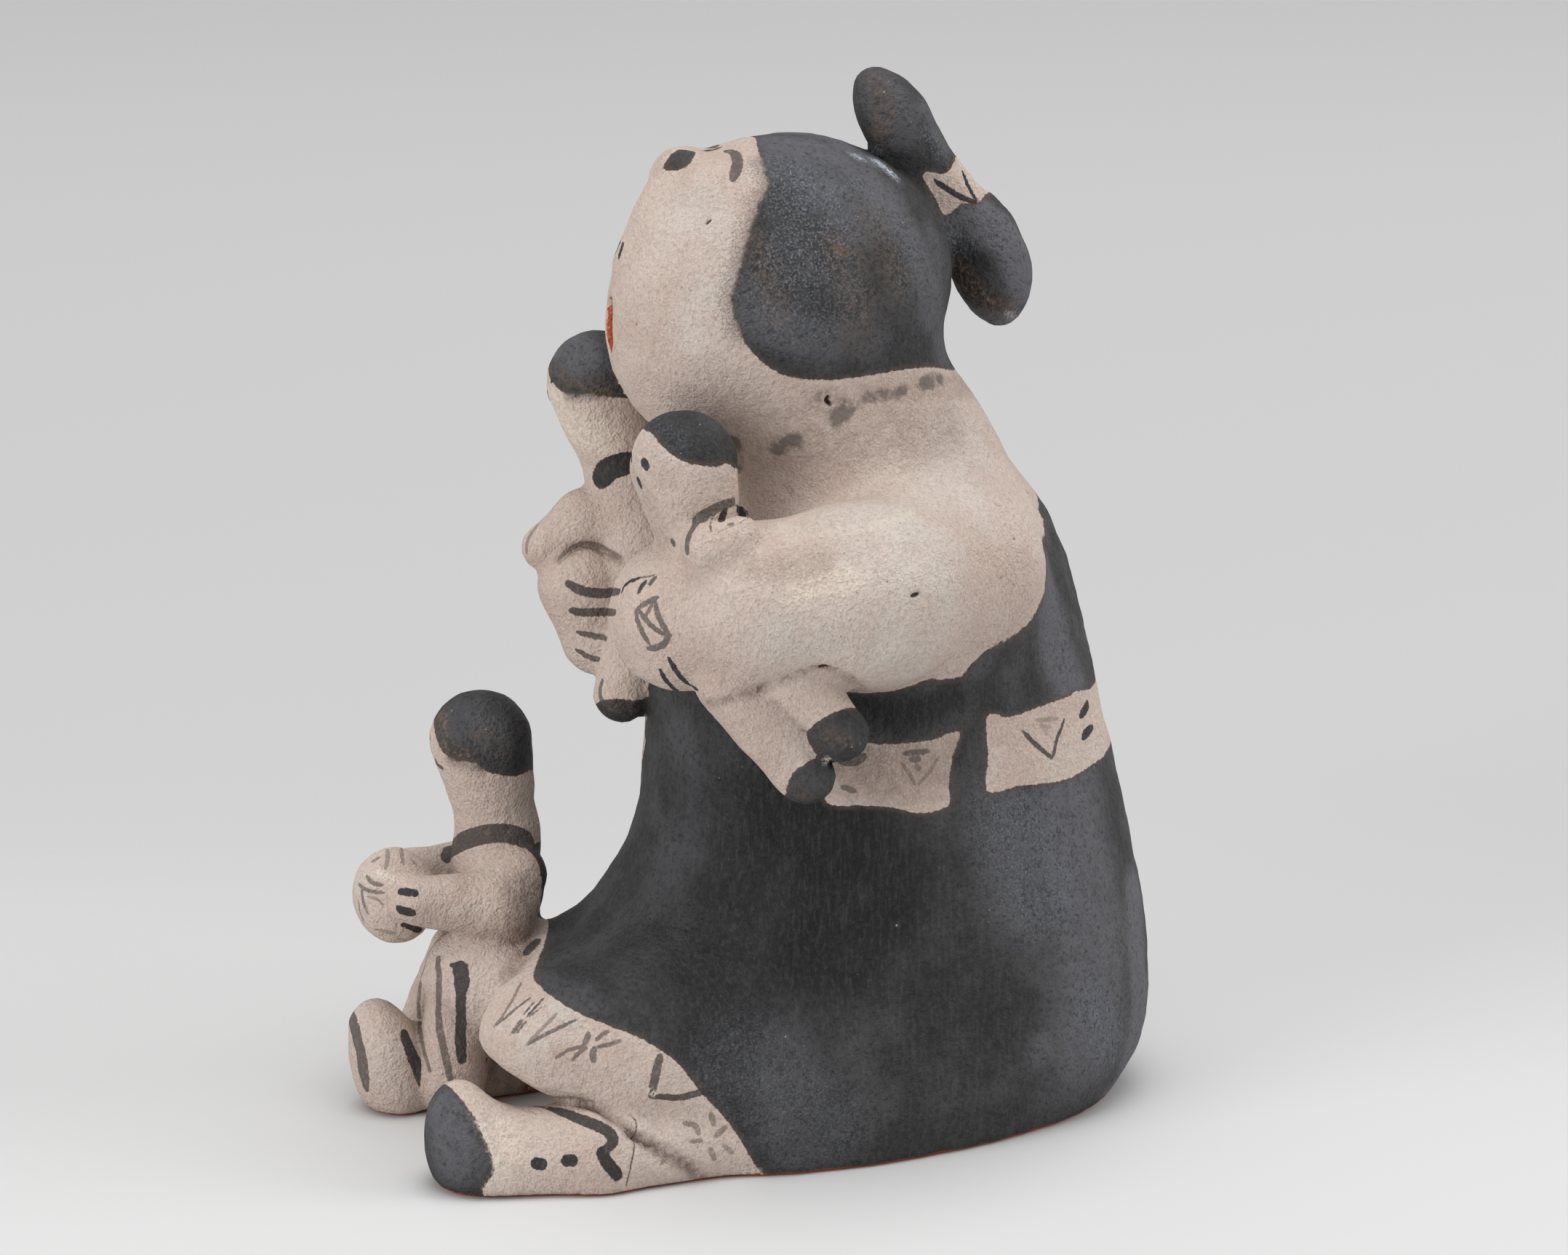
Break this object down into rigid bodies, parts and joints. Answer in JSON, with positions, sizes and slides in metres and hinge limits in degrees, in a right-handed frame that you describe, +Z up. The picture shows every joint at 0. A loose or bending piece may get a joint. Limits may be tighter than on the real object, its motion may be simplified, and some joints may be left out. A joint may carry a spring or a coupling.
{
  "type": "pueblo storyteller figure",
  "caption": "Seated fired-clay storyteller figure, head thrown back and mouth open in song, with small children held in the arms and astride one shin; stands on its flat underside.",
  "frame": {"origin": "middle of the bounding box at the level of the flat underside", "axes": "+Z up, the figure faces -Y, its left hand is towards +X"},
  "size_m": [0.1152, 0.159, 0.2078],
  "materials": {
    "painted_clay": "matte unglazed fired clay under pinkish-beige slip, painted in charcoal-black and a little iron-red slip, worn and faintly mottled"
  },
  "bodies": {
    "root": {"storyteller": "painted_clay"}
  },
  "joints": []
}
